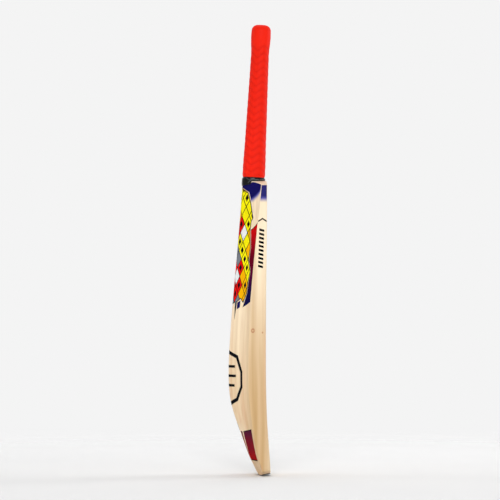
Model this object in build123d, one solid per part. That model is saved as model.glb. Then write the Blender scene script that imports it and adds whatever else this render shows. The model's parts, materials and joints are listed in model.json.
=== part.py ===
from build123d import *
from math import cos, radians, sin, sqrt, tan
import os

# A full-size cricket bat, in millimetres. The bat stands upright: +Z runs from the toe to the
# handle, the hitting face looks along -Y and the spine of the back along +Y. The origin is the
# middle of the flat on the underside of the toe guard.

# ---- overall ---------------------------------------------------------------------------------
HALF_WIDTH = 53.5  # half the width of the blade
FACE_CROWN = 1.5  # how far the middle of the face stands in front of its edges
BACK_CORNER = 2.0  # radius where the back meets the flat side edge
BACK_POINTS = 7  # points on each half of the back's curve
STATION_STEP = 35.0  # between the blade's cross-sections
OVAL_STEP = 6.0  # between the handle's cross-sections

# ---- blade: the shape of the cross-section at heights above the toe --------------------------
# height, face at the edges, back at the edges, spine, roundness of the spine, hollow of the
# back, radius between the face and the side edge
STATIONS = [
    (-20, -12.0, -3.0, 1.0, 0.36, 1.15, 6.0),
    (10, -8.9, 7.4, 15.6, 0.32, 1.15, 6.0),
    (40, -6.9, 16.4, 29.2, 0.28, 1.20, 5.5),
    (75, -4.2, 23.6, 42.2, 0.24, 1.25, 5.0),
    (110, -2.1, 29.4, 54.6, 0.20, 1.30, 4.5),
    (140, -1.0, 32.8, 63.0, 0.18, 1.35, 4.0),
    (170, -0.3, 34.3, 66.0, 0.17, 1.40, 4.0),
    (210, 0.0, 34.6, 66.2, 0.16, 1.40, 3.5),
    (270, 0.0, 33.0, 63.2, 0.16, 1.40, 3.5),
    (340, -0.4, 28.6, 57.5, 0.17, 1.45, 3.5),
    (410, -1.3, 22.4, 51.1, 0.19, 1.60, 3.5),
    (480, -2.0, 15.6, 45.3, 0.22, 1.90, 3.5),
    (530, -2.3, 10.8, 41.4, 0.27, 2.15, 3.5),
    (575, -2.4, 7.0, 38.2, 0.32, 2.50, 3.5),
]

# ---- toe -------------------------------------------------------------------------------------
TOE_TILT = 12.0  # degrees that the underside rises towards the face
TOE_FLAT = 26.0  # half-width of the flat in the middle of the toe
TOE_SIDE_RADIUS = 52.0
TOE_SIDE_TURN = 25.0  # degrees that the large arc turns before the corner arc
TOE_CORNER_RADIUS = 9.0
TOE_GUARD = 1.3  # thickness of the rubber toe guard
TOE_GUARD_REACH = 36.0  # half-width of the toe guard

# ---- shoulders and splice --------------------------------------------------------------------
SHOULDER_EDGE_Z = 548.5  # top of the side edge
SHOULDER_SLOPE = 12.5  # degrees that the shoulder rises towards the handle
SPLICE_TOP_Z = 555.0  # where the round handle begins
SPLICE_HALF_WIDTH = 19.2  # of the V at its top
SPLICE_DEPTH = 135.0
SCOOP_RADIUS = 80.0  # carved hollow where the handle meets the face
SCOOP_FRONT = -1.4

# ---- handle: height along the handle, half-width and half-depth of each oval -------------------
HANDLE_TILT = 2.97  # degrees that the handle leans towards the face
HANDLE_Y = 19.3  # middle of the handle at the top of the splice
CANE_END = 293.0
CANE = [(-20, 19.0, 20.2), (0, 18.9, 20.0), (9, 17.4, 19.0), (20, 15.8, 18.4), (49, 15.3, 17.8),
        (94, 14.8, 16.6), (140, 14.2, 15.6), (186, 13.7, 14.5), (232, 13.2, 13.8), (262, 13.6, 13.9),
        (CANE_END, 14.0, 14.2)]
BINDING = 0.8  # thickness of the twine under the grip
BINDING_START = 7.4
WHIPPING = [(-14, 20.2, 21.4), (-4, 20.3, 21.5), (2, 20.1, 21.5), (BINDING_START, 19.0, 20.9)]
WHIPPING_LOW = [(-60, 554.0), (2, 554.0), (19, 551.5), (60, 544.0)]  # its lower edge in Y and Z
GRIP_LENGTH = 298.3  # along the handle, from the top of the splice to the end of the grip
GRIP = [(7.8, 18.8, 20.7), (20, 18.5, 20.8), (34, 18.4, 20.7), (49, 18.2, 20.25), (79, 17.8, 19.4),
        (110, 17.4, 18.9), (140, 17.0, 18.2), (171, 16.7, 17.6), (201, 16.4, 17.0), (232, 16.1, 16.5),
        (245, 16.1, 16.3), (251, 16.4, 16.6), (257, 17.0, 17.1), (263, 17.8, 17.9), (268, 18.3, 18.4),
        (274, 18.6, 18.7), (285, 18.3, 18.4), (GRIP_LENGTH, 18.1, 18.2)]
GRIP_TOP_ROUND = 11.5
GRIP_MOUTH = 8.5  # radius of the hole in the grip's top end

# ---- cane laminations ------------------------------------------------------------------------
SPRING_PLACES = (-8.3, 0.0, 8.3)  # middle of each rubber strip, face side to back side
SPRING = 1.6  # thickness of each rubber strip
SLIP_HALF_WIDTH = 5.0  # of the middle slip in each layer
FAR = 400.0  # larger than anything cut with it

# ---- vinyl decals: outlines in X and Z, on the +X half of the back -----------------------------
DECAL = 0.2
BACK_GRAPHIC = [(0, 543), (6, 541), (17, 534), (24, 513), (29, 494), (32, 486), (28.5, 480), (28, 465),
                (33.5, 431), (33, 404), (41, 385), (38, 368), (36.6, 344), (29, 325), (22, 333),
                (14, 327), (11.5, 293), (9, 326), (0, 322)]
BACK_PANEL = [(51, 478), (29.5, 464), (34.5, 431), (34, 404), (42, 385), (39, 368), (37.5, 344),
              (28.5, 317), (51, 328)]
SHOULDER_PANEL = [(51.5, 548.0), (23, 554.3), (19.5, 553.0), (0, 546), (0, 544.5), (6.5, 542.5), (18, 535),
                  (25.5, 511), (51, 529)]
BACK_STRIP = [(15.0, 326), (22.0, 330), (22.0, 317), (15.0, 313)]
BACK_LOW = 5.0  # the back decals all lie behind this Y
TOE_PANEL = [(47.5, 87.5), (17, 82.5), (6, 27), (43, 27)]
TOE_STRIPE = [(13, 82), (6, 82), (1, 27), (4, 27)]
TOE_LINE = [(1.3, 99), (-1.3, 99), (-1.3, 84), (1.3, 84)]

# ---- vinyl decals on the side edges: heights and widths ----------------------------------------
EDGE_FROM = 45.0  # the edge decals all lie beyond this X
EDGE_PANEL = (514.0, 547.9)
EDGE_CHEVRON = (478.0, 483.2)  # low ends and peak
EDGE_LINE = 3.0
EDGE_BARS = (391.0, 467.0)
EDGE_BAR_COUNT = 10
EDGE_BAR_MIDDLE = (10.6, 8.2)  # middle of the lowest and of the highest bar
EDGE_BAR_LENGTH = 9.4
EDGE_BAR_SLANT = 2.5
EDGE_BAR_FILL = 0.58  # share of the spacing that each bar takes up
EDGE_MARGIN = 1.0  # bare wood left at the back corner of the edge
EDGE_WRAP = 2.6  # how far the decals reach round the corner towards the face

# ---- emblem on the back ------------------------------------------------------------------------
EMBLEM_LINE = 5.0
EMBLEM_RING = [(0, 236), (24, 226), (35, 196), (35, 166), (22, 140), (0, 130)]
EMBLEM_RING_INSIDE = [(0, 229), (20, 220.5), (30, 194), (30, 168), (19, 145.5), (0, 137)]
EMBLEM_BARS = ((205.0, 18.0), (187.0, 20.0), (169.0, 17.0))  # height and half-width of each bar


def back_height(x, edge_y, spine_y, rounding, hollow):
    """Height of the back at a distance x from the middle of the blade."""
    share = abs(x) / HALF_WIDTH
    fall = (sqrt(share**2 + rounding**2) - rounding) / (sqrt(1 + rounding**2) - rounding)
    return edge_y + (spine_y - edge_y) * max(0.0, 1 - fall) ** hollow


def blade_section(station, grow):
    """One closed cross-section of the blade, made larger all round by grow."""
    z, face_y, edge_y, spine_y, rounding, hollow, face_corner = station
    side, face_y = HALF_WIDTH + grow, face_y - grow
    edge_y, spine_y = edge_y + grow, spine_y + grow
    inner, bend = side - face_corner, face_corner * (1 - sqrt(0.5))
    top, back_bend = side - BACK_CORNER, BACK_CORNER * (1 - sqrt(0.5))
    back = []
    for i in range(-BACK_POINTS, BACK_POINTS + 1):
        x = top * i / BACK_POINTS
        back.append((x, back_height(x, edge_y, spine_y, rounding, hollow)))
    back[0], back[-1] = (-top, edge_y), (top, edge_y)
    even = [i / (2 * BACK_POINTS) for i in range(2 * BACK_POINTS + 1)]
    back_curve = Edge.make_spline([Vector(*point) for point in reversed(back)], parameters=even)
    edges = [
        ThreePointArc((-inner, face_y), (0, face_y - FACE_CROWN), (inner, face_y)),
        ThreePointArc((inner, face_y), (side - bend, face_y + bend), (side, face_y + face_corner)),
        Line((side, face_y + face_corner), (side, edge_y - BACK_CORNER)),
        ThreePointArc((side, edge_y - BACK_CORNER), (side - back_bend, edge_y - back_bend), back[-1]),
        back_curve,
        ThreePointArc(back[0], (-side + back_bend, edge_y - back_bend), (-side, edge_y - BACK_CORNER)),
        Line((-side, edge_y - BACK_CORNER), (-side, face_y + face_corner)),
        ThreePointArc((-side, face_y + face_corner), (-side + bend, face_y + bend), (-inner, face_y)),
    ]
    return Plane.XY.offset(z) * make_face(edges)


def blade_blank(grow=0.0):
    """The shaped willow before the toe and the shoulders are cut."""
    return loft([blade_section(station, grow) for station in evenly(STATIONS, STATION_STEP)])


def toe_prism(lift):
    """Everything above the toe's underside, lifted by lift: a flat, two large arcs, two corners."""
    turn = radians(TOE_SIDE_TURN)
    half = turn / 2
    ax, ay = TOE_FLAT + TOE_SIDE_RADIUS * sin(turn), TOE_SIDE_RADIUS * (1 - cos(turn))
    mx, my = TOE_FLAT + TOE_SIDE_RADIUS * sin(half), TOE_SIDE_RADIUS * (1 - cos(half))
    cx, cy = ax - TOE_CORNER_RADIUS * sin(turn), ay + TOE_CORNER_RADIUS * cos(turn)
    middle = radians((90 + TOE_SIDE_TURN) / 2)
    nx, ny = cx + TOE_CORNER_RADIUS * sin(middle), cy - TOE_CORNER_RADIUS * cos(middle)
    ex, ey = cx + TOE_CORNER_RADIUS, cy
    wide, high = HALF_WIDTH + 20, 700
    outline = [
        Line((-TOE_FLAT, 0), (TOE_FLAT, 0)),
        ThreePointArc((TOE_FLAT, 0), (mx, my), (ax, ay)),
        ThreePointArc((ax, ay), (nx, ny), (ex, ey)),
        Polyline((ex, ey), (ex + 1, 3 * ey), (wide, 5 * ey), (wide, high), (-wide, high),
                 (-wide, 5 * ey), (-ex - 1, 3 * ey), (-ex, ey)),
        ThreePointArc((-ex, ey), (-nx, ny), (-ax, ay)),
        ThreePointArc((-ax, ay), (-mx, my), (-TOE_FLAT, 0)),
    ]
    tilt = radians(TOE_TILT)
    plane = Plane(origin=(0, 0, lift), x_dir=(1, 0, 0), z_dir=(0, -cos(tilt), sin(tilt)))
    return extrude(plane * make_face(outline), FAR, both=True)


def face_prism(points, low=-FAR, high=FAR):
    """A prism along Y, from low to high, of an outline given in X and Z."""
    sheet = Plane.XZ.offset(-low) * make_face(Polyline(*points, close=True))
    return extrude(sheet, -(high - low))


def side_prism(points, low, high):
    """A prism along X, from low to high, of an outline given in Y and Z."""
    sheet = Plane.YZ.offset(low) * make_face(Polyline(*points, close=True))
    return extrude(sheet, high - low)


def mirrored(points):
    """The outline of a half shape on the +X side, completed on the -X side."""
    return list(points) + [(-x, z) for x, z in reversed(points) if x > 0]


def bar_outline(height, width):
    """The outline of an emblem's bar: the height of its middle and its half-width."""
    half = EMBLEM_LINE / 2
    low, high = height - half, height + half
    return [(-width, low), (width, low), (width, high), (-width, high)]


def evenly(rows, step):
    """Rows at even heights, about step apart, on smooth curves through the given rows."""
    gaps = [b[0] - a[0] for a, b in zip(rows, rows[1:])]
    runs = [[(v - u) / gap for u, v in zip(a, b)] for a, b, gap in zip(rows, rows[1:], gaps)]
    slopes = [runs[0]]
    for before, after, g0, g1 in zip(runs, runs[1:], gaps, gaps[1:]):
        slopes.append([(u * g1 + v * g0) / (g0 + g1) for u, v in zip(before, after)])
    slopes.append(runs[-1])
    low, high = rows[0][0], rows[-1][0]
    count = round((high - low) / step)
    out = []
    for i in range(count + 1):
        z = low + (high - low) * i / count
        k = max(j for j in range(len(gaps)) if rows[j][0] <= z)
        t, gap = (z - rows[k][0]) / gaps[k], gaps[k]
        start, end = t * t * (3 - 2 * t), t * (1 - t)
        row = [a * (1 - start) + b * start + gap * end * (m * (1 - t) - n * t)
               for a, b, m, n in zip(rows[k], rows[k + 1], slopes[k], slopes[k + 1])]
        out.append((z, *row[1:]))
    return out


def oval_loft(sections, grow=0.0):
    """A solid through ovals square to the Z axis, each larger by grow."""
    ovals = evenly(sections, OVAL_STEP)
    return loft([Plane.XY.offset(h) * Ellipse(a + grow, b + grow) for h, a, b in ovals])


def slab(low, high):
    """Everything between two heights."""
    return Pos(0, 0, low) * Box(FAR, FAR, high - low, align=(Align.CENTER, Align.CENTER, Align.MIN))


def on_handle(shape):
    """A shape made upright at the origin, moved onto the leaning handle."""
    tilt = radians(HANDLE_TILT)
    plane = Plane((0, HANDLE_Y, SPLICE_TOP_Z), x_dir=(1, 0, 0), z_dir=(0, -sin(tilt), cos(tilt)))
    return plane.location * shape


def shoulder_prism():
    """Everything below the two sloping shoulders."""
    rise = tan(radians(SHOULDER_SLOPE))
    wide = HALF_WIDTH + 20
    peak, low = SHOULDER_EDGE_Z + rise * HALF_WIDTH, SHOULDER_EDGE_Z - rise * 20
    return face_prism(mirrored([(0.0, peak), (wide, low), (wide, -80.0)]))


def splice_prism():
    """The V that the handle's wedge fills, drawn on past its top."""
    slope, past = SPLICE_HALF_WIDTH / SPLICE_DEPTH, 30
    return face_prism(mirrored([(0.0, SPLICE_TOP_Z - SPLICE_DEPTH),
                                (SPLICE_HALF_WIDTH + past * slope, SPLICE_TOP_Z + past)]))


def scoop():
    """The hollow carved into the face below the handle."""
    return Pos(0, SCOOP_FRONT - SCOOP_RADIUS, SPLICE_TOP_Z) * Sphere(SCOOP_RADIUS)


def outer_blade(blank):
    """The blade's outer form, with the wedge of the handle still part of it."""
    return blank & toe_prism(TOE_GUARD) & shoulder_prism()


def toe_guard(blank):
    """The thin rubber strip along the underside of the toe."""
    wide, high = TOE_GUARD_REACH, 40
    reach = face_prism([(-wide, -high), (wide, -high), (wide, high), (-wide, high)])
    return (blank & toe_prism(0.0) & reach) - toe_prism(TOE_GUARD)


def cane_handle(outer, stem):
    """The whole handle before it is parted into its slips: round stem and splice wedge."""
    wedge = (outer & splice_prism() & slab(SPLICE_TOP_Z - FAR, SPLICE_TOP_Z)) - scoop()
    return (stem & slab(SPLICE_TOP_Z, SPLICE_TOP_Z + FAR)) + wedge


def handle_layers():
    """Name and extent, front to back, of the cane layers and of the rubber between them."""
    half = SPRING / 2
    low, middle, high = SPRING_PLACES
    layers = {"face": (-FAR, low - half), "inner_face": (low + half, middle - half),
              "inner_back": (middle + half, high - half), "back": (high + half, FAR)}
    springs = {"face": (low - half, low + half), "middle": (middle - half, middle + half),
               "back": (high - half, high + half)}
    return layers, springs


def handle_box(x0, x1, y0, y1):
    """A box along the handle that reaches past both of its ends."""
    corner = (Align.MIN, Align.MIN, Align.CENTER)
    return on_handle(Pos(x0, y0, 0) * Box(x1 - x0, y1 - y0, 2 * FAR, align=corner))


def write(name, shape):
    export_step(shape, f"parts/{name}.step")


def write_handle(handle):
    """The cane slips, four layers of three, and the rubber springs between the layers."""
    layers, springs = handle_layers()
    columns = {"left": (-FAR, -SLIP_HALF_WIDTH), "middle": (-SLIP_HALF_WIDTH, SLIP_HALF_WIDTH),
               "right": (SLIP_HALF_WIDTH, FAR)}
    for layer, (y0, y1) in layers.items():
        for column, (x0, x1) in columns.items():
            write(f"cane_slip_{layer}_{column}", handle & handle_box(x0, x1, y0, y1))
    for place, (y0, y1) in springs.items():
        write(f"rubber_spring_{place}", handle & handle_box(-FAR, FAR, y0, y1))


def whipping(blade, handle):
    """The exposed coils of twine above the shoulders, reaching lower over the back."""
    coils = on_handle(oval_loft(WHIPPING)) - handle - blade
    above = side_prism(WHIPPING_LOW + [(60, 700), (-60, 700)], -60, 60)
    return coils & above


def grip(bound):
    """The rubber sleeve with its thick top, open in the middle of its end."""
    sleeve = oval_loft(GRIP)
    sleeve = fillet(sleeve.faces().sort_by(Axis.Z)[-1].edges(), GRIP_TOP_ROUND)
    mouth = Pos(0, 0, CANE_END) * Cylinder(GRIP_MOUTH, 40, align=(Align.CENTER, Align.CENTER, Align.MIN))
    return on_handle(sleeve - mouth) - bound


def edge_span(z):
    """Front and back of the decals on the side edge at a height."""
    for low, high in zip(STATIONS, STATIONS[1:]):
        if low[0] <= z <= high[0]:
            t = (z - low[0]) / (high[0] - low[0])
            front = low[1] + low[6] + t * (high[1] + high[6] - low[1] - low[6])
            back = low[2] + t * (high[2] - low[2])
            return front - EDGE_WRAP, back - EDGE_MARGIN


def edge_decals():
    """Outlines in Y and Z of the decals on one side edge."""
    low, high = EDGE_PANEL
    front_low, back_low = edge_span(low)
    front_high, back_high = edge_span(high)
    panel = [(front_low, low), (back_low, low), (back_high, high), (front_high, high)]
    foot, peak = EDGE_CHEVRON
    front, back = edge_span(foot)
    middle, line = (front + back) / 2, EDGE_LINE
    chevron = [(front, foot), (middle, peak), (back, foot), (back, foot + line), (middle, peak + line),
               (front, foot + line)]
    bars = []
    low, high = EDGE_BARS
    step, up = (high - low) / EDGE_BAR_COUNT, EDGE_BAR_SLANT
    for i in range(EDGE_BAR_COUNT):
        z, share = low + i * step, i / (EDGE_BAR_COUNT - 1)
        middle = EDGE_BAR_MIDDLE[0] * (1 - share) + EDGE_BAR_MIDDLE[1] * share
        y0, y1 = middle - EDGE_BAR_LENGTH / 2, middle + EDGE_BAR_LENGTH / 2
        top = z + step * EDGE_BAR_FILL
        bars.append([(y0, z), (y1, z + up), (y1, top + up), (y0, top)])
    return {"edge_panel": [panel], "edge_chevron": [chevron], "edge_bars": bars}


def write_decals(blank):
    """The thin vinyl decals, cut from a skin just outside the blade."""
    skin = blade_blank(DECAL) - blank
    halves = {"back_panel": BACK_PANEL, "shoulder_panel": SHOULDER_PANEL, "back_strip": BACK_STRIP,
              "toe_panel": TOE_PANEL, "toe_stripe": TOE_STRIPE}
    for name, outline in halves.items():
        write(f"{name}_right", skin & face_prism(outline, BACK_LOW))
        write(f"{name}_left", skin & face_prism([(-x, z) for x, z in outline], BACK_LOW))
    write("back_graphic", skin & face_prism(mirrored(BACK_GRAPHIC), BACK_LOW))
    write("toe_line", skin & face_prism(TOE_LINE, BACK_LOW))
    ring = face_prism(mirrored(EMBLEM_RING), BACK_LOW) - face_prism(mirrored(EMBLEM_RING_INSIDE), BACK_LOW)
    write("back_emblem_ring", skin & ring)
    bars = [skin & face_prism(bar_outline(z, width), BACK_LOW) for z, width in EMBLEM_BARS]
    write("back_emblem_bars", Compound(children=bars))
    for name, outlines in edge_decals().items():
        for side, low, high in (("right", EDGE_FROM, 60), ("left", -60, -EDGE_FROM)):
            pieces = [skin & side_prism(outline, low, high) for outline in outlines]
            write(f"{name}_{side}", pieces[0] if len(pieces) == 1 else Compound(children=pieces))


def main():
    os.makedirs("parts", exist_ok=True)
    blank = blade_blank()
    outer = outer_blade(blank)
    stem = on_handle(oval_loft(CANE))
    bound = on_handle(oval_loft(CANE, BINDING))
    blade = outer - splice_prism() - scoop()
    handle = cane_handle(outer, stem)
    write("willow_blade", blade)
    write("toe_guard", toe_guard(blank))
    write_handle(handle)
    write("twine_binding", (bound - stem) & on_handle(slab(BINDING_START, CANE_END)))
    write("twine_whipping", whipping(blade, handle))
    write("rubber_grip", grip(bound))
    write_decals(blank)


main()
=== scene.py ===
"""The looks of the cricket bat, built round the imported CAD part. Lengths are in metres."""

import json
import math
import random

import bpy
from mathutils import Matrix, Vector
from mathutils.bvhtree import BVHTree
from mathutils.geometry import delaunay_2d_cdt


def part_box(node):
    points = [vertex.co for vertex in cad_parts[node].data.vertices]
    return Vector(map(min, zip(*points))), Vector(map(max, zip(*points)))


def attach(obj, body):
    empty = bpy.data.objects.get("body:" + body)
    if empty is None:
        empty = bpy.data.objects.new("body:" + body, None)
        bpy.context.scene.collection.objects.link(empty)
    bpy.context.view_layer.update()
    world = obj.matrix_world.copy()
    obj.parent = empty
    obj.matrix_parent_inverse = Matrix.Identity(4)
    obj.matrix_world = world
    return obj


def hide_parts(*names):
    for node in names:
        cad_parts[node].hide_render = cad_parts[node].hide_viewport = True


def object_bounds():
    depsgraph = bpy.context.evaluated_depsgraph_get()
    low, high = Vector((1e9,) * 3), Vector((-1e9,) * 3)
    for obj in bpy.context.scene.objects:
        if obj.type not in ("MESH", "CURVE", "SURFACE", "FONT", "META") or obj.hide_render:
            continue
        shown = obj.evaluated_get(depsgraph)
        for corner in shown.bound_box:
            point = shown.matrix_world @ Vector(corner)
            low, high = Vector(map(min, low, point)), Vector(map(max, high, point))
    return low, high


MM = 0.001
random.seed(2)

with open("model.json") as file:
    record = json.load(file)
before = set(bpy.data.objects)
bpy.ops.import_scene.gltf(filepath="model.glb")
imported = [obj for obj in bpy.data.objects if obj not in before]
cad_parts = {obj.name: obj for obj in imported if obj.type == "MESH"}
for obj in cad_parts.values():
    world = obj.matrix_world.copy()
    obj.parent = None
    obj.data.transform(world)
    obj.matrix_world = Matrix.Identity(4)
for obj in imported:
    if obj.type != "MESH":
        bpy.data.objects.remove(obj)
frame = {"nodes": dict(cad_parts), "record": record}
cad_low, cad_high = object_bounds()
nodes = frame["nodes"]

blade_low, blade_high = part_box("willow_blade")
grip_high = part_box("rubber_grip")[1]

# ---- colours, as sRGB values from 0 to 255 -----------------------------------------------------
CREAM = (250, 229, 196)
HONEY = (197, 158, 104)
PINK_STREAK = (212, 156, 112)
LATEWOOD = (205, 160, 112)
KNOT = (172, 92, 44)
CANE_PALE = (222, 188, 130)
CANE_DARK = (160, 116, 66)
RED_GRIP = (243, 37, 17)
# painted shade: the grip's red, darkened down in the grooves between its ribs
RED_GROOVE_SHADE = (186, 9, 4)
BLACK = (16, 17, 22)
NAVY = (24, 22, 88)
DARK_NAVY = (19, 17, 68)
EDGE_NAVY = (44, 42, 108)
FADED_NAVY = (96, 94, 176)
RED = (206, 14, 16)
MAROON = (100, 8, 32)
DULL_RED = (166, 26, 28)
WINE = (126, 26, 38)
PLUM = (76, 30, 54)
YELLOW = (250, 236, 18)
AMBER = (252, 182, 10)
SCARLET = (226, 20, 18)
WHITE = (236, 236, 236)
STEEL = (118, 122, 130)
SPRING_RUBBER = (30, 28, 28)
TOE_RUBBER = (46, 36, 26)
TWINE_BLACK = (5, 6, 8)
# painted highlight: pale grey for the black twine's loose crossing turns, where they shine
TWINE_PAINTED_HIGHLIGHT = (84, 92, 94)
FLOOR_GREY = (242, 242, 242)
WALL_GREY = (243, 243, 243)


def linear(colour):
    """An sRGB colour as the linear one that a shader takes."""
    out = [c / 255 / 12.92 if c <= 10 else ((c / 255 + 0.055) / 1.055) ** 2.4 for c in colour]
    return (*out, 1.0)


# ---- shader helpers ----------------------------------------------------------------------------
def link(tree, value, socket):
    """Joins a socket to a socket, or sets a plain value on it."""
    if isinstance(value, bpy.types.NodeSocket):
        tree.links.new(value, socket)
    else:
        socket.default_value = value


def make(tree, kind, inputs=(), **settings):
    """A new node with its settings, and its inputs given by name or number."""
    made = tree.nodes.new(kind)
    for name, value in settings.items():
        setattr(made, name, value)
    for key, value in dict(inputs).items():
        link(tree, value, made.inputs[key])
    return made


def maths(tree, operation, a, b=0.0, clamp=False):
    return make(tree, "ShaderNodeMath", {0: a, 1: b}, operation=operation, use_clamp=clamp).outputs[0]


def mix(tree, factor, a, b):
    made = make(tree, "ShaderNodeMix", {0: factor, 6: a, 7: b}, data_type="RGBA")
    return made.outputs[2]


def spread(tree, value, low, high, new_low=0.0, new_high=1.0):
    """The value's range from low to high mapped smoothly to a new range."""
    inputs = {"Value": value, "From Min": low, "From Max": high, "To Min": new_low, "To Max": new_high}
    return make(tree, "ShaderNodeMapRange", inputs, interpolation_type="SMOOTHSTEP").outputs[0]


def stretched(tree, position, scale, shift=(0, 0, 0)):
    inputs = {"Vector": position, "Scale": scale, "Location": shift}
    return make(tree, "ShaderNodeMapping", inputs).outputs[0]


def noise(tree, vector, scale=1.0, detail=3.0, roughness=0.5, distortion=0.0):
    inputs = {"Vector": vector, "Scale": scale, "Detail": detail, "Roughness": roughness,
              "Distortion": distortion}
    return make(tree, "ShaderNodeTexNoise", inputs).outputs[0]


COAT_ROUGHNESS = 0.12


def new_material(name, roughness, coat=0.0, specular=0.5):
    """A new material, with its node tree, its shader and the place on the object to go on with."""
    material = bpy.data.materials.new(name)
    material.use_nodes = True
    tree = material.node_tree
    shader = tree.nodes["Principled BSDF"]
    shader.inputs["Roughness"].default_value = roughness
    shader.inputs["Coat Weight"].default_value = coat
    shader.inputs["Coat Roughness"].default_value = COAT_ROUGHNESS
    shader.inputs["Specular IOR Level"].default_value = specular
    position = make(tree, "ShaderNodeTexCoord").outputs["Object"]
    return material, tree, shader, position


def bump(tree, shader, height, strength, distance):
    inputs = {"Height": height, "Strength": strength, "Distance": distance}
    tree.links.new(make(tree, "ShaderNodeBump", inputs).outputs[0], shader.inputs["Normal"])


# ---- willow ------------------------------------------------------------------------------------
# place of each knot, its radius, and how far its dark ring stands from its middle, as a share of the radius
KNOTS = [((blade_low.x, 0.0250, 0.2735), 0.0042, 0.55), ((blade_low.x, 0.0068, 0.2700), 0.0022, 0.0),
         ((-0.0330, 0.0230, 0.0885), 0.0015, 0.0), ((0.0300, -0.0010, 0.1900), 0.0016, 0.0),
         ((blade_high.x, 0.0150, 0.3600), 0.0022, 0.5)]
KNOT_HEIGHT = 0.75  # squeezes a knot's distances along the blade, so that it is longer than it is wide
KNOT_STRENGTH = 0.72
GRAIN_PITCH = 0.0098  # between the growth rings across the blade
GRAIN_WANDER = 0.016
LATE_SHARPNESS = 7.0  # the higher, the thinner the rings' dark lines
LATE_STRENGTH = 0.55
FIBRE_STRENGTH = 0.20
TONE_CHANGE = 1.5
# heights between which the wood turns from cream to honey, and its streaks from faint to strong
HONEY_FROM, STREAKS_FROM, DARKEST_AT = 0.54, 0.42, 0.10
# distances towards the back between which the wood is painted paler, and what is left of its darkness
# there:
# once towards the spine, a painted sheen for the light on the grazing back, and once towards the face,
# painted light
PAINTED_SHEEN_SPINE, DARK_LEFT_UNDER_SHEEN = (0.018, 0.040), 0.55
PAINTED_LIGHT_FACE, DARK_LEFT_UNDER_FACE_LIGHT = (0.012, -0.006), 0.65


def knots(tree, position):
    """How strongly the knots colour a place, and how far they push the grain aside there."""
    uneven = maths(tree, "SUBTRACT", noise(tree, stretched(tree, position, (300, 300, 200)), 1.0, 2.0), 0.5)
    colouring = 0.0
    push = 0.0
    for place, radius, ring in KNOTS:
        flat = make(tree, "ShaderNodeVectorMath", {0: position, 1: place}, operation="SUBTRACT").outputs[0]
        flat = stretched(tree, flat, (1, 1, KNOT_HEIGHT))
        away = make(tree, "ShaderNodeVectorMath", {0: flat}, operation="LENGTH").outputs["Value"]
        away = maths(tree, "ADD", away, maths(tree, "MULTIPLY", uneven, radius * 0.5))
        rim = maths(tree, "ABSOLUTE", maths(tree, "SUBTRACT", away, radius * ring))
        mark = spread(tree, rim, radius * 0.06, radius * (0.40 if ring else 1.0), 1.0, 0.0)
        colouring = maths(tree, "MAXIMUM", colouring, mark)
        halo = spread(tree, away, radius * 0.5, radius * 3.2, radius, 0.0)
        push = maths(tree, "ADD", push, halo)
    return colouring, push


def latewood(tree, position, x, push):
    """The thin dark lines of the growth rings, pushed aside by the knots and broken here and there."""
    wander = noise(tree, stretched(tree, position, (9, 9, 2.2)), 1.0, 2.0)
    place = maths(tree, "ADD", x, maths(tree, "MULTIPLY", wander, GRAIN_WANDER))
    place = maths(tree, "ADD", place, push)
    across = maths(tree, "FRACT", maths(tree, "DIVIDE", maths(tree, "ADD", place, 1.0), GRAIN_PITCH))
    broken = noise(tree, stretched(tree, position, (260, 260, 7)), 1.0, 4.0, 0.6)
    shown = spread(tree, broken, 0.3, 0.7, 0.25, 0.8)
    return maths(tree, "MULTIPLY", maths(tree, "POWER", across, LATE_SHARPNESS), shown)


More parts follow.
